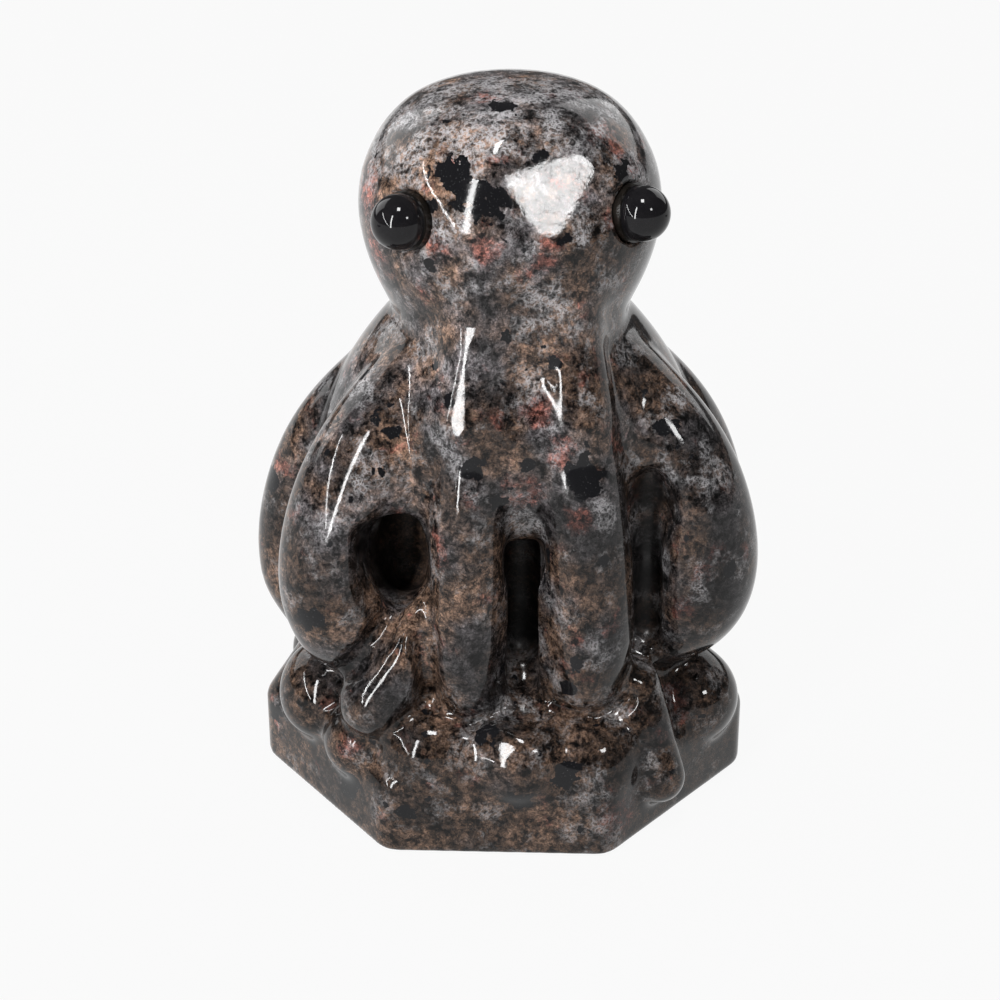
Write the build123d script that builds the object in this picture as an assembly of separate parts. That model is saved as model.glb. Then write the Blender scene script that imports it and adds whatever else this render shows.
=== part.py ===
from build123d import *

import os
from dataclasses import dataclass
from math import cos, radians, sin

# An octopus figurine: one carved and polished stone on a six-sided foot, with two bead eyes
# that sit in drilled sockets on a bed of cured adhesive.
# Millimetres. +Z is up, the face looks along -Y, and +X is on the right of someone who faces it.
# The origin is on the flat underside, below the middle of the head.

# Body: an oval bell that spreads below the neck to a brim, then draws in behind the arms
BRIM_HEIGHT = 44.0
BRIM_HALF_WIDTH = 21.4
BRIM_HALF_DEPTH = 17.8
WAIST_DROP = 10.0
NECK_RISE = 14.0
NECK_RADIUS = 13.0
THROAT_RADIUS = 12.6
THROAT_REACH = 15.2

# Head: a turned dome on the neck; each rise is counted from the line below it
JAW_RISE = 4.6
JAW_RADIUS = 15.1
CHEEK_RISE = 6.9
HEAD_RADIUS = 16.6
DOME_RISE = 13.7
DOME_SHOULDER_SHARES = (0.74, 0.76)

# Arms: tapering round limbs that leave the neck, swell to a knee and tuck in above the foot
ARM_ROOT_DROP = 2.0
FRONT_ARM_GIRTH_RADIUS = 5.4
FRONT_ARM_ROOT_REACH = 12.4
FRONT_ARM_REACH = 17.4
FRONT_ARM_TUCK = 4.5
FRONT_ARM_LAP = 3.4
SIDE_ARM_GIRTH_RADIUS = 7.2
SIDE_ARM_ROOT_REACH = 6.0
SIDE_ARM_REACH = 21.9
SIDE_ARM_TIP_RISE = 2.0
FLANK_ARM_GIRTH_RADIUS = 5.8
FLANK_ARM_ROOT_REACH = 6.0
FLANK_ARM_REACH = 23.8
FLANK_ARM_TUCK = 5.0
FLANK_ARM_LAP = 1.3
FRONT_ARM_AZIMUTH = 22.0
SIDE_ARM_AZIMUTH = 61.5
FLANK_ARM_AZIMUTH = 105.0
REAR_ARM_AZIMUTH = 152.0
# Each station of an arm: share of the way from root to knee reach, of its rise, and of its girth
ARM_STATION_SHARES = (
    (0.00, 1.00, 0.64),
    (0.35, 0.88, 0.76),
    (0.64, 0.74, 0.88),
    (0.88, 0.58, 0.97),
    (1.00, 0.42, 1.02),
    (1.03, 0.27, 1.02),
    (0.90, 0.13, 0.92),
    (0.48, 0.00, 0.70),
)

# Foot: a six-sided block with upright walls and a sloped shoulder
FOOT_CORNER_REACH = 29.3
FOOT_HALF_DEPTH = 20.8
FOOT_HALF_EDGE = 12.7
FOOT_WALL_HEIGHT = 8.6
FOOT_SHOULDER_RISE = 8.4
FOOT_SLOPE_INSET = 5.0
FOOT_CORNER_ROUND = 3.0
FOOT_TURN = -8.0
FOOT_SHIFT_X = -1.1
FOOT_SHIFT_Y = -2.6

# Knobs and folds: the curled arm tips that stand out of the foot's shoulder
KNOB_RADIUS = 5.2
FOLD_RADIUS = 4.2

# Hollows: upright slots with round ends that part the arms
HOLLOW_RADIUS = 2.4

# Eyes: beads in drilled sockets
EYE_DIAMETER = 6.0
EYE_STAND_OUT = 0.5
EYE_RISE = 2.3
EYE_AZIMUTH = 48.2
EYE_LIFT = 8.0
SOCKET_CLEARANCE = 0.15
ADHESIVE_RECESS = 0.8
CUT_OVERRUN = 5.0

# Sizes that follow from those above: the heights, and the waist that the arms lap over
WAIST_HALF_WIDTH = FLANK_ARM_REACH - FLANK_ARM_LAP
WAIST_HALF_DEPTH = FRONT_ARM_REACH - FRONT_ARM_LAP
NECK_HEIGHT = BRIM_HEIGHT + NECK_RISE
JAW_HEIGHT = NECK_HEIGHT + JAW_RISE
HEAD_LINE_HEIGHT = JAW_HEIGHT + CHEEK_RISE
FOOT_TOP_HEIGHT = FOOT_WALL_HEIGHT + FOOT_SHOULDER_RISE

# Round cutters and bars are placed by the middle of their lower end
BASE_ALIGN = (Align.CENTER, Align.CENTER, Align.MIN)


@dataclass
class Arm:
    azimuth: float
    girth_radius: float
    root_reach: float
    reach: float
    tip_rise: float
    girth_share: float = 1.0


FRONT_RUN = (FRONT_ARM_GIRTH_RADIUS, FRONT_ARM_ROOT_REACH, FRONT_ARM_REACH, -FRONT_ARM_TUCK)
SIDE_RUN = (SIDE_ARM_GIRTH_RADIUS, SIDE_ARM_ROOT_REACH, SIDE_ARM_REACH, SIDE_ARM_TIP_RISE)
FLANK_RUN = (FLANK_ARM_GIRTH_RADIUS, FLANK_ARM_ROOT_REACH, FLANK_ARM_REACH, -FLANK_ARM_TUCK)
ARMS = (
    Arm(-FRONT_ARM_AZIMUTH, *FRONT_RUN, girth_share=0.84),
    Arm(FRONT_ARM_AZIMUTH, *FRONT_RUN, girth_share=1.02),
    Arm(-SIDE_ARM_AZIMUTH, *SIDE_RUN),
    Arm(SIDE_ARM_AZIMUTH, *SIDE_RUN),
    Arm(-FLANK_ARM_AZIMUTH, *FLANK_RUN),
    Arm(FLANK_ARM_AZIMUTH, *FLANK_RUN),
    Arm(-REAR_ARM_AZIMUTH, *FRONT_RUN),
    Arm(REAR_ARM_AZIMUTH, *FRONT_RUN),
)


@dataclass
class Knob:
    azimuth: float
    reach_share: float
    height_share: float
    radius_share: float


# Azimuths go round from the front; reach is a share of the foot's corner reach, height of its top
KNOBS = (
    Knob(-34, 0.69, 0.66, 1.04),
    Knob(-3, 0.67, 0.64, 0.98),
    Knob(21, 0.67, 0.54, 1.14),
    Knob(68, 0.74, 0.62, 1.18),
    Knob(-74, 0.78, 0.74, 1.12),
    Knob(-54, 0.76, 0.60, 0.94),
    Knob(106, 0.70, 0.64, 1.10),
    Knob(-106, 0.72, 0.64, 1.10),
    Knob(140, 0.52, 0.60, 1.05),
    Knob(-140, 0.52, 0.60, 1.05),
    Knob(178, 0.48, 0.60, 0.95),
)


@dataclass
class Fold:
    upper: tuple
    lower: tuple
    radius_share: float


# Each end of a fold as a knob's place: azimuth, reach share and height share
FOLDS = (
    Fold((-35, 0.61, 1.52), (-47, 0.79, 1.00), 1.02),
    Fold((37, 0.69, 1.00), (38, 0.83, 0.40), 0.76),
)


@dataclass
class Hollow:
    azimuth: float
    reach_share: float
    low_share: float
    high_share: float
    radius_share: float


# Reach is a share of the front arms' reach, low and high ends of the brim's height
HOLLOWS = (
    Hollow(-40, 1.27, 0.70, 0.81, 0.88),
    Hollow(-49, 1.02, 0.66, 0.83, 1.16),
    Hollow(-59, 0.84, 0.66, 0.82, 1.16),
    Hollow(0, 1.03, 0.90, 0.94, 0.46),
    Hollow(0, 1.15, 0.45, 0.81, 0.71),
    Hollow(0, 0.84, 0.45, 0.80, 1.00),
    Hollow(0, 0.64, 0.48, 0.77, 1.08),
    Hollow(41, 1.25, 0.50, 0.92, 0.54),
    Hollow(50, 1.03, 0.54, 0.92, 0.92),
    Hollow(57, 0.85, 0.59, 0.91, 1.00),
)


def polar(azimuth, reach, height):
    """A point at an azimuth in degrees from the front, counted towards +X."""
    turn = radians(azimuth)
    return Vector(reach * sin(turn), -reach * cos(turn), height)


def head():
    """The dome and its underside, turned about the Z axis."""
    crown = HEAD_LINE_HEIGHT + DOME_RISE
    out_share, up_share = DOME_SHOULDER_SHARES
    outline = Spline(
        (0, crown),
        (HEAD_RADIUS * out_share, HEAD_LINE_HEIGHT + DOME_RISE * up_share),
        (HEAD_RADIUS, HEAD_LINE_HEIGHT),
        (JAW_RADIUS, JAW_HEIGHT),
        (NECK_RADIUS, NECK_HEIGHT),
        tangents=((1, 0), (NECK_RADIUS - JAW_RADIUS, NECK_HEIGHT - JAW_HEIGHT)),
    )
    closing = Polyline((NECK_RADIUS, NECK_HEIGHT), (0, NECK_HEIGHT), (0, crown))
    section = make_face(Plane.XZ * (outline + closing))
    return revolve(section, Axis.Z)


def body():
    """The bell below the neck, lofted through ovals, and the straight waist that goes down into the foot."""
    waist_height = BRIM_HEIGHT - WAIST_DROP
    waist_oval = Ellipse(WAIST_HALF_WIDTH, WAIST_HALF_DEPTH)
    bell = loft(
        [
            Pos(0, 0, NECK_HEIGHT) * Circle(NECK_RADIUS),
            Pos(0, 0, BRIM_HEIGHT) * Ellipse(BRIM_HALF_WIDTH, BRIM_HALF_DEPTH),
            Pos(0, 0, waist_height) * waist_oval,
        ]
    )
    waist = extrude(Pos(0, 0, FOOT_WALL_HEIGHT) * waist_oval, waist_height - FOOT_WALL_HEIGHT)
    return bell + waist


def throat():
    """The full front of the neck, from the chest up into the face."""
    middle = Pos(0, THROAT_RADIUS - THROAT_REACH, BRIM_HEIGHT)
    return extrude(middle * Circle(THROAT_RADIUS), HEAD_LINE_HEIGHT - BRIM_HEIGHT)


def arm(limb):
    """One arm, lofted through round stations in its upright plane."""
    run = limb.reach - limb.root_reach
    low = FOOT_TOP_HEIGHT + limb.tip_rise
    rise = NECK_HEIGHT - ARM_ROOT_DROP - low
    centres = [
        polar(limb.azimuth, limb.root_reach + run * out_share, low + rise * up_share)
        for out_share, up_share, _ in ARM_STATION_SHARES
    ]
    sideways = Vector(cos(radians(limb.azimuth)), sin(radians(limb.azimuth)), 0)
    rings = []
    for i, (_, _, round_share) in enumerate(ARM_STATION_SHARES):
        along = centres[min(i + 1, len(centres) - 1)] - centres[max(i - 1, 0)]
        station = Plane(centres[i], x_dir=sideways, z_dir=along)
        rings.append(station * Circle(limb.girth_radius * limb.girth_share * round_share))
    return loft(rings)


def foot_outline(inset):
    """The foot's six-sided outline, drawn in by an inset."""
    corner = FOOT_CORNER_REACH - inset
    depth = FOOT_HALF_DEPTH - inset
    edge = FOOT_HALF_EDGE - inset / 2
    outline = Polygon(
        (corner, 0), (edge, depth), (-edge, depth), (-corner, 0), (-edge, -depth), (edge, -depth), align=None
    )
    return fillet(outline.vertices(), FOOT_CORNER_ROUND)


def foot():
    """The block that the figure stands on."""
    wall = extrude(foot_outline(0), FOOT_WALL_HEIGHT)
    shoulder = loft(
        [
            Pos(0, 0, FOOT_WALL_HEIGHT) * foot_outline(0),
            Pos(0, 0, FOOT_TOP_HEIGHT) * foot_outline(FOOT_SLOPE_INSET),
        ]
    )
    return Pos(FOOT_SHIFT_X, FOOT_SHIFT_Y, 0) * Rot(0, 0, FOOT_TURN) * (wall + shoulder)


def foot_place(azimuth, reach_share, height_share):
    """A place on the foot, by shares of its reach and height."""
    return polar(azimuth, FOOT_CORNER_REACH * reach_share, FOOT_TOP_HEIGHT * height_share)


def knob(tip):
    """A curled arm tip."""
    place = foot_place(tip.azimuth, tip.reach_share, tip.height_share)
    return Pos(place) * Sphere(KNOB_RADIUS * tip.radius_share)


def bar(start, end, radius):
    """A round bar with ball ends."""
    along = end - start
    shaft = Plane(start, z_dir=along) * Cylinder(radius, along.length, align=BASE_ALIGN)
    return shaft + Pos(start) * Sphere(radius) + Pos(end) * Sphere(radius)


def fold(tip):
    """An arm tip that lies along the foot."""
    return bar(foot_place(*tip.upper), foot_place(*tip.lower), FOLD_RADIUS * tip.radius_share)


def hollow(slot):
    """A slot between two arms."""
    reach = FRONT_ARM_REACH * slot.reach_share
    low = polar(slot.azimuth, reach, BRIM_HEIGHT * slot.low_share)
    high = polar(slot.azimuth, reach, BRIM_HEIGHT * slot.high_share)
    return bar(low, high, HOLLOW_RADIUS * slot.radius_share)


def eye_plane(side):
    """The plane through a bead's middle, its Z pointing out of the head. Side is -1 or 1."""
    azimuth = side * EYE_AZIMUTH
    middle = polar(azimuth, HEAD_RADIUS + EYE_STAND_OUT, HEAD_LINE_HEIGHT + EYE_RISE)
    return Plane(middle, z_dir=polar(azimuth, cos(radians(EYE_LIFT)), sin(radians(EYE_LIFT))))


def bead(side):
    """A round bead eye."""
    return eye_plane(side) * Sphere(EYE_DIAMETER / 2)


def socket_hole(side, mouth):
    """The drilled hole that takes a bead, from its floor to a mouth above the bead's middle."""
    radius = EYE_DIAMETER / 2 + SOCKET_CLEARANCE
    return eye_plane(side) * Pos(0, 0, -radius) * Cylinder(radius, radius + mouth, align=BASE_ALIGN)


def adhesive(side):
    """The cured bed between a bead and its socket."""
    return socket_hole(side, -ADHESIVE_RECESS) - bead(side)


def stone():
    """The whole carving, with both sockets drilled."""
    carving = body() + throat()
    for limb in ARMS:
        carving += arm(limb)
    carving = carving + head() + foot()
    for tip in KNOBS:
        carving += knob(tip)
    for tip in FOLDS:
        carving += fold(tip)
    for slot in HOLLOWS:
        carving -= hollow(slot)
    for side in (-1, 1):
        carving -= socket_hole(side, CUT_OVERRUN)
    return carving


def main():
    os.makedirs("parts", exist_ok=True)
    pieces = {"stone_carving": stone()}
    for side, word in ((-1, "left"), (1, "right")):
        pieces[f"{word}_eye_bead"] = bead(side)
        pieces[f"{word}_eye_adhesive"] = adhesive(side)
    for name, piece in pieces.items():
        export_step(piece, f"parts/{name}.step")


main()
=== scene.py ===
import math

import bmesh
import bpy
import numpy as np
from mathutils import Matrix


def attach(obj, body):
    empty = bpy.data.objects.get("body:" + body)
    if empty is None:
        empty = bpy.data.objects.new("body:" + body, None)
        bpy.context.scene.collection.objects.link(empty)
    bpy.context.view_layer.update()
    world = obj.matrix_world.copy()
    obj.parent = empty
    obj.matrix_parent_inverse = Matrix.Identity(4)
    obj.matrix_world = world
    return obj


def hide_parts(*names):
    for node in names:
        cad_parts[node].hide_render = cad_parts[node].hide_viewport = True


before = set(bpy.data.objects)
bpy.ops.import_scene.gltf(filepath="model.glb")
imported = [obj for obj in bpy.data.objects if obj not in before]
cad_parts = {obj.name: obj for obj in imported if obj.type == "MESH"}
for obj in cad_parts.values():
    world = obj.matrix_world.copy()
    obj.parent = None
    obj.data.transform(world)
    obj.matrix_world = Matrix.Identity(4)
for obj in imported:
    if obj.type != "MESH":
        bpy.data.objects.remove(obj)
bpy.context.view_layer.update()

import openvdb as vdb
from mathutils import Matrix, Vector

# The octopus figurine's looks: the polished shape and grain of the stone, the bead eyes and their
# adhesive, the floor, the light and the camera. Shapes are worked out in millimetres, in the CAD frame.

MM = 0.001

# Camera: where the photograph was taken from
CAMERA_AZIMUTH = -6.0
CAMERA_ELEVATION = 25.0
CAMERA_DISTANCE = 251.4 * MM
CAMERA_TARGET = Vector((0, 0, 41.5 * MM))
CAMERA_FOCAL_PIXELS = 2190
PICTURE_PIXELS = 1000
TARGET_PIXEL = (510, 435)
SENSOR_MM = 36.0

# Floor: how much of it the camera sees as plain white, the rest as lit board with the shadow on it
FLOOR_WHITE_SHARE = 0.93

# Stone: voxel size of the sculpt, its working band, and the radius that a polishing tool leaves in creases
VOXEL = 0.34
BAND_VOXELS = 12
CREASE_RADIUS = 0.45
BLUR_VOXELS = 1.3
RELAX_ROUNDS = 8

# Black crystals and rust-coloured patches that stand out: the middle and radius of the ball that each fills
CRYSTALS = (
    (-7.0, -11.5, 76.5, 2.3), (-5.5, -13.0, 75.0, 2.1), (-3.5, -14.0, 74.0, 2.1), (-9.5, -11.5, 73.5, 1.2),
    (-1.5, -7.0, 82.5, 1.2), (10.5, -10.0, 76.0, 1.3), (-8.0, -12.5, 56.5, 1.1), (-2.5, -15.0, 60.0, 1.1),
    (-6.0, -18.0, 46.5, 1.3), (6.0, -19.5, 45.0, 2.3), (-14.5, -13.5, 49.0, 0.9), (15.5, -14.0, 48.0, 1.3),
    (-27.5, 4.5, 35.5, 1.6), (-24.0, -16.5, 28.0, 1.8), (-20.0, -15.5, 6.0, 2.2), (-28.5, -1.5, 7.0, 1.5),
    (-1.5, -24.0, 8.5, 1.4), (3.5, -23.5, 10.5, 1.9), (5.0, -21.5, 24.0, 1.1), (4.0, -21.0, 20.0, 1.2),
    (-4.5, -21.0, 14.5, 1.2), (18.5, -15.5, 1.0, 1.4), (-14.0, -22.0, 5.5, 1.1), (-3.0, -18.0, 42.0, 1.0),
)
# The last two balls, on the left side of the head, paint a pinkish reflection there, not rust
RUST_AND_PAINTED_REFLECTION_PATCHES = (
    (-3.0, -4.5, 83.0, 1.5), (8.5, -8.5, 80.0, 1.8), (10.0, -9.0, 78.0, 1.2), (-8.5, -12.5, 70.0, 1.7),
    (-4.0, -15.0, 70.0, 1.7), (2.0, -16.0, 68.5, 1.2), (7.0, -14.5, 56.0, 1.6), (1.0, -17.0, 52.0, 1.8),
    (-8.0, -14.5, 53.0, 1.4), (-4.0, -16.5, 51.5, 1.4), (-7.0, -13.5, 56.5, 1.2), (3.5, -18.0, 47.5, 1.6),
    (5.0, -20.5, 40.5, 1.5), (19.5, -18.0, 32.0, 1.1), (17.5, -17.5, 27.5, 1.2), (5.0, -21.5, 26.5, 1.2),
    (-20.0, -17.0, 12.0, 1.4), (10.0, -23.5, 5.0, 2.6), (-15.5, -4.0, 73.0, 2.6), (-15.0, -6.0, 67.0, 2.2),
)

# Deep hollows that the polishing doesn't reach, where the stone stays matt and painted shade makes it dark
DULL_AND_PAINTED_SHADE_HOLLOWS = (
    (-13.5, -7.0, 34.0, 5.0), (-13.5, -7.0, 29.5, 5.0), (0.0, -10.5, 34.0, 5.0), (0.0, -10.5, 28.0, 5.0),
    (0.0, -10.5, 22.5, 4.5), (14.0, -11.0, 39.5, 3.2), (14.0, -11.0, 34.0, 3.2), (14.0, -11.0, 28.5, 3.2),
    (14.0, -11.0, 24.0, 3.2),
)

# Forehead, where the stone is polished less evenly
WORN_FOREHEAD = (3.0, -15.5, 75.5, 6.0)

# Flats that polishing leaves: the box that each set lies in, and for each flat the azimuth and elevation that
# it faces, its depth below the round form and the rounding of its edge
FOREHEAD = ((-20.0, -25.0, 59.5), (20.0, 0.0, 90.0))
FOREHEAD_FLATS = (
    (12, 26, 1.20, 0.3),
    (21, 19, 0.78, 0.15),
    (2, 21, 0.58, 0.15),
    (10, 36, 0.76, 0.15),
)
LEFT_RIDGE = ((-14.0, -30.0, 36.0), (-1.0, -8.0, 62.0))
LEFT_RIDGE_FLATS = ((-21.5, 14, 0.30, 0.1),)
LEFT_ARM = ((-22.0, -22.0, 41.0), (-11.0, -8.0, 53.0))
LEFT_ARM_FLATS = ((-18.4, 31.7, 0.11, 0.1),)
LEFT_KNOB = ((-27.0, -17.0, 11.0), (-19.0, -6.0, 20.0))
LEFT_KNOB_FLATS = ((-18.5, 30.7, 0.14, 0.1),)
FRONT_ROLL = ((-6.0, -28.0, 10.0), (2.0, -20.0, 18.0))
FRONT_ROLL_FLATS = ((-21.4, 37.9, 0.15, 0.1),)

# Round bars that are blended into the stone: two ends, the radius at each, and the width of the blend
SWELLS = (
    ((-4.4, -12.0, 63.0), (-6.3, -14.2, 50.5), 3.0, 3.4, 3.0),
    ((4.6, -12.0, 63.0), (5.6, -14.4, 50.0), 3.0, 3.4, 3.0),
    ((0.0, -13.0, 47.0), (0.0, -14.4, 43.0), 3.0, 2.4, 4.0),
    ((-0.1, -12.5, 40.0), (-0.1, -13.5, 38.0), 3.5, 3.0, 2.0),
    ((-11.3, -16.8, 11.2), (-1.0, -19.6, 10.9), 4.6, 4.7, 2.0),
    ((-1.0, -19.6, 10.9), (7.0, -18.3, 9.6), 4.7, 5.2, 2.0),
    ((7.0, -18.3, 9.6), (12.5, -16.8, 13.0), 4.6, 3.2, 2.0),
)

# Round bars that are cut out of it, to ease the rims of the hollows between the arms
HOLLOWS = (
    ((-14.1, -17.0, 35.5), (-14.1, -17.0, 31.0), 2.1, 2.1, 3.0),
    ((-16.3, -19.5, 34.0), (-15.8, -19.5, 30.0), 2.6, 2.2, 4.5),
    ((-14.3, -16.5, 41.0), (-14.6, -15.2, 33.0), 0.8, 2.9, 3.0),
    ((-11.9, -17.5, 44.0), (-11.6, -18.5, 20.0), 0.7, 0.7, 1.5),
    ((14.3, -16.5, 40.5), (14.3, -16.5, 22.0), 1.3, 1.3, 2.0),
    ((-0.1, -20.0, 35.5), (-0.3, -20.0, 18.0), 1.5, 2.5, 2.0),
    ((-0.1, -22.0, 41.0), (-0.1, -21.5, 20.0), 0.8, 2.4, 3.5),
    ((-0.1, -19.8, 44.0), (-0.1, -17.0, 34.0), 0.5, 1.5, 3.0),
    ((-17.5, -16.5, 38.0), (-13.8, -10.0, 32.0), 0.6, 2.6, 3.0),
    ((14.0, -13.5, 41.5), (14.2, -13.5, 23.0), 1.4, 1.6, 1.5),
    ((13.4, -18.0, 48.0), (14.2, -14.8, 38.0), 0.5, 1.9, 3.0),
    ((-11.3, -16.8, 30.0), (-11.3, -18.3, 25.5), 0.8, 1.1, 1.4),
    ((-11.3, -18.3, 25.5), (-10.9, -17.6, 17.5), 1.1, 0.9, 1.4),
    ((-14.8, -14.8, 27.2), (-16.4, -16.4, 25.6), 1.1, 1.2, 1.5),
    ((-16.4, -16.4, 25.6), (-18.4, -16.6, 22.8), 1.2, 1.1, 1.5),
    ((-18.4, -16.6, 22.8), (-20.0, -15.4, 20.6), 1.1, 0.9, 1.5),
    ((-10.0, -18.8, 16.6), (-6.5, -19.6, 15.4), 0.7, 0.7, 1.2),
    ((-6.5, -19.6, 15.4), (-2.8, -19.0, 16.4), 0.7, 0.7, 1.2),
    ((3.6, -19.4, 16.6), (8.0, -20.4, 15.6), 0.7, 0.7, 1.2),
    ((8.0, -20.4, 15.6), (11.6, -18.4, 16.8), 0.7, 0.7, 1.2),
)

# Waves that polishing by hand leaves: depth, wave length, and the height and span where they are deepest
WAVE_COUNT = 9
WAVE_TURN = 137.5
WAVES = (
    (0.014, 5.0, 72.0, 20.0),
    (0.15, 10.0, 17.0, 8.0),
)


def direction(azimuth, elevation):
    """Unit vector at an azimuth in degrees from the front, counted towards +X, and an elevation."""
    a, e = math.radians(azimuth), math.radians(elevation)
    return Vector((math.sin(a) * math.cos(e), -math.cos(a) * math.cos(e), math.sin(e)))


# The stone's shape

def node_triangles(name):
    """A CAD node's welded points in millimetres and its triangles."""
    mesh = bmesh.new()
    mesh.from_mesh(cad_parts[name].data)
    bmesh.ops.remove_doubles(mesh, verts=mesh.verts, dist=0.002 * MM)
    bmesh.ops.triangulate(mesh, faces=mesh.faces)
    mesh.verts.index_update()
    points = np.array([v.co for v in mesh.verts], np.float32) / MM
    triangles = np.array([[v.index for v in f.verts] for f in mesh.faces], np.uint32)
    mesh.free()
    return points, triangles


def level_set(points, **faces):
    """A signed distance grid of a closed mesh, in millimetres."""
    return vdb.FloatGrid.createLevelSetFromPolygons(
        points, transform=vdb.createLinearTransform(VOXEL), halfWidth=BAND_VOXELS, **faces
    )


def crease_filled(points, triangles):
    """The solid with its creases rounded to the crease radius, as distances on a box of voxels."""
    grown_points, grown_quads = level_set(points, triangles=triangles).convertToQuads(CREASE_RADIUS)
    grown = level_set(grown_points, quads=grown_quads)
    low, high = grown.evalActiveVoxelBoundingBox()
    field = np.empty([h - l + 1 for l, h in zip(low, high)], np.float32)
    grown.copyToArray(field, ijk=low)
    return field + CREASE_RADIUS, low


def blurred(field, sigma):
    """The field after a Gaussian blur of so many voxels."""
    reach = math.ceil(3 * sigma)
    weights = np.exp(-0.5 * (np.arange(-reach, reach + 1) / sigma) ** 2)
    weights /= weights.sum()
    for axis in range(3):
        padded = np.pad(field, [(reach, reach) if a == axis else (0, 0) for a in range(3)], mode="edge")
        length = field.shape[axis]
        total = np.zeros_like(field)
        for i, weight in enumerate(weights):
            total += np.float32(weight) * np.take(padded, range(i, i + length), axis=axis)
        field = total
    return field


def relaxed(points, quads, rounds):
    """Points after rounds of smoothing that keep the volume."""
    edges = np.concatenate([quads[:, [0, 1]], quads[:, [1, 2]], quads[:, [2, 3]], quads[:, [3, 0]]])
    edges = np.unique(np.sort(edges, 1), axis=0)
    a, b = edges[:, 0], edges[:, 1]
    count = np.bincount(a, minlength=len(points)) + np.bincount(b, minlength=len(points))
    for _ in range(rounds):
        for pull in (0.5, -0.53):
            step = np.empty_like(points)
            for k in range(3):
                total = np.bincount(a, points[b, k], len(points)) + np.bincount(b, points[a, k], len(points))
                step[:, k] = total / count - points[:, k]
            points = points + pull * step
    return points


def smooth_max(a, b, width):
    """The larger of two fields, rounded over a width where they cross."""
    h = np.maximum(width - np.abs(a - b), 0) / width
    return np.maximum(a, b) + h * h * width / 4


def bar_distance(places, start, end, start_radius, end_radius):
    """Distance from a round bar with ball ends."""
    start, along = np.array(start), np.subtract(end, start)
    share = sum((place - from_) * step for place, from_, step in zip(places, start, along)) / (along @ along)
    share = np.clip(share, 0, 1)
    square = sum((place - from_ - share * step) ** 2 for place, from_, step in zip(places, start, along))
    return np.sqrt(square) - start_radius - share * (end_radius - start_radius)


class Sculpt:
    """A solid as signed distances on a box of voxels, negative inside."""

    def __init__(self, points, triangles):
        self.field, self.low = crease_filled(points, triangles)

    def window(self, low, high):
        """The voxels between two corners, and the places of their middles along each axis."""
        first = [max(math.floor(c / VOXEL) - l, 0) for c, l in zip(low, self.low)]
        last = [min(math.ceil(c / VOXEL) - l, n) for c, l, n in zip(high, self.low, self.field.shape)]
        spans = tuple(slice(f, e) for f, e in zip(first, last))
        axes = [(np.arange(f, e) + l) * VOXEL for f, e, l in zip(first, last, self.low)]
        return spans, np.meshgrid(*axes, indexing="ij", sparse=True)

    def bar(self, start, end, start_radius, end_radius, blend, sign):
        """Adds a round bar to the solid (sign -1) or cuts it out (sign 1)."""
        margin = max(start_radius, end_radius) + 2 * blend
        spans, places = self.window(np.minimum(start, end) - margin, np.maximum(start, end) + margin)
        distance = bar_distance(places, start, end, start_radius, end_radius)
        self.field[spans] = sign * smooth_max(sign * self.field[spans], -distance, blend)

    def grind(self, box, flats):
        """Grinds flats in a box, each to its depth below the round form."""
        spans, (x, y, z) = self.window(*box)
        round_form = self.field[spans].copy()
        for azimuth, elevation, depth, rounding in flats:
            out = direction(azimuth, elevation)
            height = x * out.x + y * out.y + z * out.z
            reach = height[round_form < 0].max()
            self.field[spans] = smooth_max(self.field[spans], height - reach + depth, rounding)

    def uneven(self, depth, length, height, span):
        """The slight waves that polishing by hand leaves, deepest at a height and gone a span above and below."""
        spans, (x, y, z) = self.window((-99, -99, -99), (99, 99, 99))
        waves = np.zeros_like(self.field[spans])
        for i in range(WAVE_COUNT):
            along = direction(i * WAVE_TURN, math.degrees(math.asin(2 * (i + 0.5) / WAVE_COUNT - 1)))
            waves += np.sin(2 * math.pi / length * (x * along.x + y * along.y + z * along.z) + i)
        share = np.clip(1 - np.abs(z - height) / span, 0, 1)
        self.field[spans] += depth * math.sqrt(2 / WAVE_COUNT) * waves * share

    def surface(self):
        """The smoothed skin as points and quads."""
        grid = vdb.FloatGrid(float(BAND_VOXELS * VOXEL))
        grid.copyFromArray(blurred(self.field, BLUR_VOXELS), ijk=self.low)
        grid.transform = vdb.createLinearTransform(VOXEL)
        points, quads = grid.convertToQuads(0.0)
        points = relaxed(points.astype(float), quads.astype(int), RELAX_ROUNDS)
        points[:, 2] = np.maximum(points[:, 2], 0)
        return points, quads


def sculpt_stone():
    """The polished carving, as a mesh object."""
    sculpt = Sculpt(*node_triangles("stone_carving"))
    for bar in SWELLS:
        sculpt.bar(*bar, sign=-1)
    for bar in HOLLOWS:
        sculpt.bar(*bar, sign=1)
    sculpt.grind(FOREHEAD, FOREHEAD_FLATS)
    sculpt.grind(LEFT_RIDGE, LEFT_RIDGE_FLATS)
    sculpt.grind(LEFT_ARM, LEFT_ARM_FLATS)
    for wave in WAVES:
        sculpt.uneven(*wave)
    sculpt.grind(LEFT_KNOB, LEFT_KNOB_FLATS)
    sculpt.grind(FRONT_ROLL, FRONT_ROLL_FLATS)
    points, quads = sculpt.surface()
    mesh = bpy.data.meshes.new("polished_stone")
    mesh.from_pydata((points * MM).tolist(), [], quads.tolist())
    mesh.shade_smooth()
    stone = bpy.data.objects.new("polished_stone", mesh)
    bpy.context.collection.objects.link(stone)
    return stone


# Materials

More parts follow.
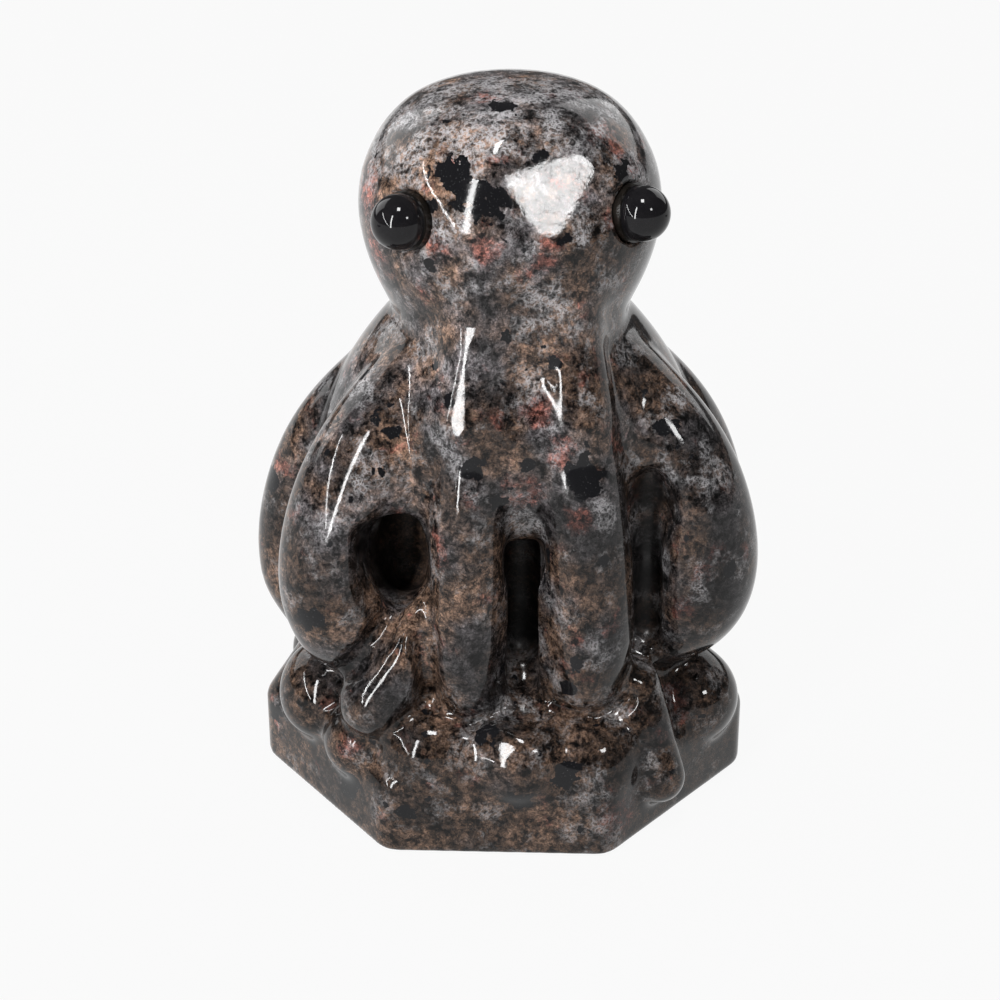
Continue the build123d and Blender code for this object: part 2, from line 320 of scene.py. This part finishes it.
class Graph:
    """A material's nodes, built by name."""

    def __init__(self, name):
        self.material = bpy.data.materials.new(name)
        self.material.use_nodes = True
        self.tree = self.material.node_tree
        self.shader = self.tree.nodes["Principled BSDF"]

    def add(self, kind, values=(), **settings):
        node = self.tree.nodes.new("ShaderNode" + kind)
        for key, value in settings.items():
            setattr(node, key, value)
        for key, value in dict(values).items():
            self.put(node.inputs[key], value)
        return node

    def put(self, socket, value):
        if isinstance(value, bpy.types.NodeSocket):
            self.tree.links.new(value, socket)
        else:
            socket.default_value = value

    def math(self, operation, a, b=0.0, c=0.0):
        return self.add("Math", {0: a, 1: b, 2: c}, operation=operation).outputs[0]

    def vector(self, operation, a, b, c=(0, 0, 0)):
        return self.add("VectorMath", {0: a, 1: b, 2: c}, operation=operation).outputs[0]

    def channel(self, colour, index):
        return self.add("SeparateColor", {0: colour}).outputs[index]

    def ramp(self, value, low, high, start=0.0, end=1.0):
        """Start below low, end above high, smooth between."""
        values = {0: value, 1: low, 2: high, 3: start, 4: end}
        return self.add("MapRange", values, interpolation_type="SMOOTHSTEP").outputs[0]

    def mix(self, share, a, b, blend="MIX"):
        node = self.add("Mix", data_type="RGBA", blend_type=blend)
        for index, value in ((0, share), (6, a), (7, b)):
            self.put(node.inputs[index], value)
        return node.outputs[2]

    def noise(self, vector, scale, detail=4.0, roughness=0.55, distortion=0.0):
        values = {"Vector": vector, "Scale": scale, "Detail": detail, "Roughness": roughness, "Distortion": distortion}
        return self.add("TexNoise", values).outputs

    def cells(self, vector, scale, randomness=1.0):
        return self.add("TexVoronoi", {"Vector": vector, "Scale": scale, "Randomness": randomness}).outputs


def rgb(red, green, blue):
    return (red, green, blue, 1.0)


def inclusions(g, cells, places):
    """1 in each cell whose middle lies in one of the balls, 0 elsewhere."""
    inside = 0.0
    for *middle, radius in places:
        gap = g.add("VectorMath", {0: cells["Position"], 1: middle}, operation="DISTANCE").outputs["Value"]
        inside = g.math("MAXIMUM", inside, g.math("LESS_THAN", gap, radius))
    return inside


def patches(g, place, places):
    """1 in the middle of each ball, fading to 0 at its edge."""
    inside = 0.0
    for *middle, radius in places:
        gap = g.add("VectorMath", {0: place, 1: middle}, operation="DISTANCE").outputs["Value"]
        inside = g.math("MAXIMUM", inside, g.ramp(gap, 1.4 * radius, 0.3 * radius))
    return inside


def stone_material():
    """Speckled polished stone: grey and taupe felt, frosty and rust patches, black crystals; painted light and shade.
    """
    g = Graph("speckled_stone_painted_shading")
    place = g.add("TexCoord").outputs["Object"]
    mm = g.vector("MULTIPLY", place, (1 / MM,) * 3)
    shake = g.vector("SUBTRACT", g.noise(mm, 0.8, 4.0, 0.6)["Color"], (0.5, 0.5, 0.5))
    shaken = g.vector("MULTIPLY_ADD", shake, (1.8, 1.8, 1.8), mm)

    x, y, z = (g.add("SeparateXYZ", {0: mm}).outputs[i] for i in range(3))
    # Warmer towards the bottom: partly the stone's brown, partly a painted warm reflection near the foot
    warm = g.math("ADD", g.noise(mm, 0.12, 4.0, 0.6)["Fac"], g.ramp(z, 0.0, 30.0, 0.15, 0.0))
    warm = g.ramp(warm, 0.40, 0.60)
    colour = g.mix(warm, rgb(0.030, 0.027, 0.028), rgb(0.046, 0.028, 0.019))
    wander = g.vector("SUBTRACT", g.noise(mm, 0.45, 5.0, 0.65)["Color"], (0.5, 0.5, 0.5))
    wandered = g.vector("MULTIPLY_ADD", wander, (6.0, 6.0, 6.0), mm)
    rust = g.ramp(g.noise(shaken, 0.20, 5.0, 0.65)["Fac"], 0.58, 0.70)
    # The listed patches include a painted pinkish reflection on the left side of the head
    rust = g.math("MAXIMUM", rust, patches(g, wandered, RUST_AND_PAINTED_REFLECTION_PATCHES))
    colour = g.mix(rust, colour, rgb(0.080, 0.029, 0.022))

    felt = g.noise(mm, 0.75, 9.0, 0.74, 0.3)["Fac"]
    zone_and_painted_shading = g.ramp(g.noise(mm, 0.13, 3.0)["Fac"], 0.36, 0.64, 0.45, 1.55)
    # Painted shade: darker towards the right side (+X)
    zone_and_painted_shading = g.math("MULTIPLY", zone_and_painted_shading, g.ramp(x, -8.0, 20.0, 1.05, 0.50))
    # Painted light and shade: darker towards the bottom, lighter towards the top
    zone_and_painted_shading = g.math("MULTIPLY", zone_and_painted_shading, g.ramp(z, 10.0, 78.0, 0.66, 1.32))
    tone_and_painted_shading = g.math("MULTIPLY", g.ramp(felt, 0.37, 0.66, 0.03, 2.9), zone_and_painted_shading)
    fleck = g.channel(g.cells(shaken, 2.6)["Color"], 0)
    tone_and_painted_shading = g.math("MULTIPLY", tone_and_painted_shading, g.ramp(fleck, 0.0, 1.0, 0.5, 1.6))
    strokes = g.noise(mm, 2.4, 4.0, 0.6, 1.6)["Fac"]
    tone_and_painted_shading = g.math("MULTIPLY", tone_and_painted_shading, g.ramp(strokes, 0.36, 0.64, 0.45, 1.55))
    colour = g.mix(1.0, colour, tone_and_painted_shading, "MULTIPLY")

    # Painted light: frosty patches are made more common towards the top of the head
    high = g.ramp(z, 62.0, 82.0, 0.0, 0.09)
    frost_and_painted_light = g.ramp(g.math("ADD", g.noise(mm, 0.22, 6.0, 0.7)["Fac"], high), 0.50, 0.66, 0.05, 1.0)
    thread = g.math("ABSOLUTE", g.math("SUBTRACT", g.noise(mm, 1.5, 5.0, 0.65)["Fac"], 0.5))
    frost_and_painted_light = g.math("MULTIPLY", frost_and_painted_light, g.ramp(thread, 0.09, 0.0, 0.15, 1.0))
    frost_and_painted_light = g.math("MULTIPLY", frost_and_painted_light, g.ramp(felt, 0.36, 0.58, 0.2, 1.0))
    # Painted shade: fewer frosty patches lower down
    frost_and_painted_light = g.math("MULTIPLY", frost_and_painted_light, g.ramp(z, 15.0, 75.0, 0.5, 1.0))
    colour = g.mix(frost_and_painted_light, colour, rgb(0.42, 0.41, 0.42))

    crystal = inclusions(g, g.cells(shaken, 0.9), CRYSTALS)
    for scale, share, size in ((0.28, 0.88, 0.28), (0.8, 0.95, 0.32)):
        cells = g.cells(shaken, scale)
        chosen = g.math("GREATER_THAN", g.channel(cells["Color"], 2), share)
        crystal = g.math("MAXIMUM", crystal, g.math("MULTIPLY", chosen, g.ramp(cells["Distance"], size, size - 0.03)))
    glint = g.ramp(g.noise(mm, 5.0, 2.0)["Fac"], 0.66, 0.72, 0.004, 0.10)
    colour = g.mix(crystal, colour, g.mix(glint, rgb(0.004, 0.004, 0.005), rgb(0.6, 0.6, 0.6)))

    # Painted shade: the stone is darkened in the deep hollows, and made rougher there
    dull_and_painted_shade = patches(g, mm, DULL_AND_PAINTED_SHADE_HOLLOWS)
    colour = g.mix(g.math("MULTIPLY", dull_and_painted_shade, 0.8), colour, rgb(0.003, 0.0025, 0.0025))
    g.put(g.shader.inputs["Base Color"], colour)
    gloss = g.ramp(fleck, 0.0, 1.0, 0.04, 0.11)
    g.put(g.shader.inputs["Roughness"], g.math("MULTIPLY_ADD", dull_and_painted_shade, 0.5, gloss))
    g.shader.inputs["IOR"].default_value = 1.5
    g.shader.inputs["Specular IOR Level"].default_value = 0.28
    worn = g.math("MULTIPLY_ADD", patches(g, mm, (WORN_FOREHEAD,)), 2.2, 1.0)
    peel = g.math("MULTIPLY", g.noise(mm, 1.4, 3.0)["Fac"], worn)
    bump = g.add("Bump", {"Strength": 0.25, "Distance": 0.03 * MM, "Height": peel})
    g.put(g.shader.inputs["Normal"], bump.outputs[0])
    return g.material


def bead_material():
    """Black polished glass with faint cloudy depth."""
    g = Graph("black_bead")
    place = g.add("TexCoord").outputs["Object"]
    cloud = g.noise(place, 900, 4.0, 0.6)["Fac"]
    g.put(g.shader.inputs["Base Color"], g.mix(cloud, rgb(0.002, 0.002, 0.003), rgb(0.012, 0.011, 0.012)))
    g.put(g.shader.inputs["Roughness"], g.ramp(cloud, -1.5, 12.0))
    g.shader.inputs["IOR"].default_value = 1.52
    g.shader.inputs["Specular IOR Level"].default_value = 0.24
    return g.material


def adhesive_material():
    """Dark cured adhesive with slight waviness."""
    g = Graph("cured_adhesive")
    place = g.add("TexCoord").outputs["Object"]
    wave = g.noise(place, 700, 3.0)["Fac"]
    g.put(g.shader.inputs["Base Color"], g.mix(wave, rgb(0.005, 0.0045, 0.004), rgb(0.014, 0.011, 0.009)))
    g.put(g.shader.inputs["Roughness"], g.ramp(wave, -0.6, 3.0))
    bump = g.add("Bump", {"Strength": 0.2, "Distance": 0.1 * MM, "Height": wave})
    g.put(g.shader.inputs["Normal"], bump.outputs[0])
    return g.material


def floor_material():
    """Pale matt board."""
    g = Graph("pale_board")
    place = g.add("TexCoord").outputs["Object"]
    fleck = g.noise(place, 400, 3.0)["Fac"]
    g.put(g.shader.inputs["Base Color"], g.mix(fleck, rgb(0.26, 0.26, 0.26), rgb(0.30, 0.30, 0.30)))
    g.shader.inputs["Roughness"].default_value = 0.7
    g.shader.inputs["Specular IOR Level"].default_value = 0.2
    rays = g.add("LightPath").outputs
    seen = g.math("MAXIMUM", rays["Is Camera Ray"], rays["Is Glossy Ray"])
    seen = g.math("MULTIPLY", g.math("MAXIMUM", seen, rays["Is Transmission Ray"]), FLOOR_WHITE_SHARE)
    white = g.add("Emission", {"Color": rgb(1, 1, 1), "Strength": 1.0}).outputs[0]
    both = g.add("MixShader", {0: seen, 1: g.shader.outputs[0], 2: white}).outputs[0]
    g.put(g.tree.nodes["Material Output"].inputs["Surface"], both)
    return g.material


def dress(obj, material):
    obj.data.materials.clear()
    obj.data.materials.append(material)


# The stage

def build_floor():
    mesh = bpy.data.meshes.new("floor")
    half = 4.0
    mesh.from_pydata([(-half, -half, 0), (half, -half, 0), (half, half, 0), (-half, half, 0)], [], [(0, 1, 2, 3)])
    floor = bpy.data.objects.new("floor", mesh)
    bpy.context.collection.objects.link(floor)
    dress(floor, floor_material())


def softbox(name, start, end, distance, width, radiance):
    """A lamp between two directions from the figure, which it faces; radiance is what a mirror would show."""
    start, end = (direction(*angles) * distance for angles in (start, end))
    middle, along = (start + end) / 2, end - start
    lamp = bpy.data.lights.new(name, "AREA")
    lamp.shape = "RECTANGLE"
    lamp.size, lamp.size_y = width, along.length
    lamp.energy = radiance * math.pi * width * along.length
    obj = bpy.data.objects.new(name, lamp)
    back = middle.normalized()
    side = along.cross(back).normalized()
    turn = Matrix((side, back.cross(side), back)).transposed().to_4x4()
    obj.matrix_world = Matrix.Translation(CAMERA_TARGET + middle) @ turn
    bpy.context.collection.objects.link(obj)


def build_light():
    world = bpy.data.worlds.new("studio")
    world.use_nodes = True
    world.node_tree.nodes["Background"].inputs[0].default_value = rgb(1.0, 1.0, 1.0)
    world.node_tree.nodes["Background"].inputs[1].default_value = 0.12
    bpy.context.scene.world = world
    softbox("window", (33, 28.5), (33, 35.5), 0.9, 0.12, 33)
    softbox("strip", (-37, -2), (-37, 42), 0.8, 0.06, 40)
    softbox("tube", (-46, 3), (-93, 33), 0.8, 0.012, 70)
    softbox("overhead", (-8, 64), (-8, 77), 0.8, 0.14, 40)
    softbox("left_fill", (-135, 10), (-135, 45), 1.2, 0.8, 2.4)
    softbox("right_fill", (135, 10), (135, 45), 1.2, 0.8, 2.0)


def build_camera():
    data = bpy.data.cameras.new("camera")
    data.sensor_width = SENSOR_MM
    data.lens = SENSOR_MM * CAMERA_FOCAL_PIXELS / PICTURE_PIXELS
    centre = PICTURE_PIXELS / 2
    data.shift_x = (centre - TARGET_PIXEL[0]) / PICTURE_PIXELS
    data.shift_y = (TARGET_PIXEL[1] - centre) / PICTURE_PIXELS
    data.clip_start = 0.01
    camera = bpy.data.objects.new("camera", data)
    back = direction(CAMERA_AZIMUTH, CAMERA_ELEVATION)
    camera.location = CAMERA_TARGET + back * CAMERA_DISTANCE
    camera.rotation_euler = back.to_track_quat("Z", "Y").to_euler()
    bpy.context.collection.objects.link(camera)
    bpy.context.scene.camera = camera


stone = sculpt_stone()
dress(stone, stone_material())
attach(stone, "root")
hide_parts("stone_carving")
for side in ("left", "right"):
    dress(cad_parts[f"{side}_eye_bead"], bead_material())
    dress(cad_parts[f"{side}_eye_adhesive"], adhesive_material())
build_floor()
build_light()
build_camera()
bpy.context.scene.view_settings.view_transform = "Standard"
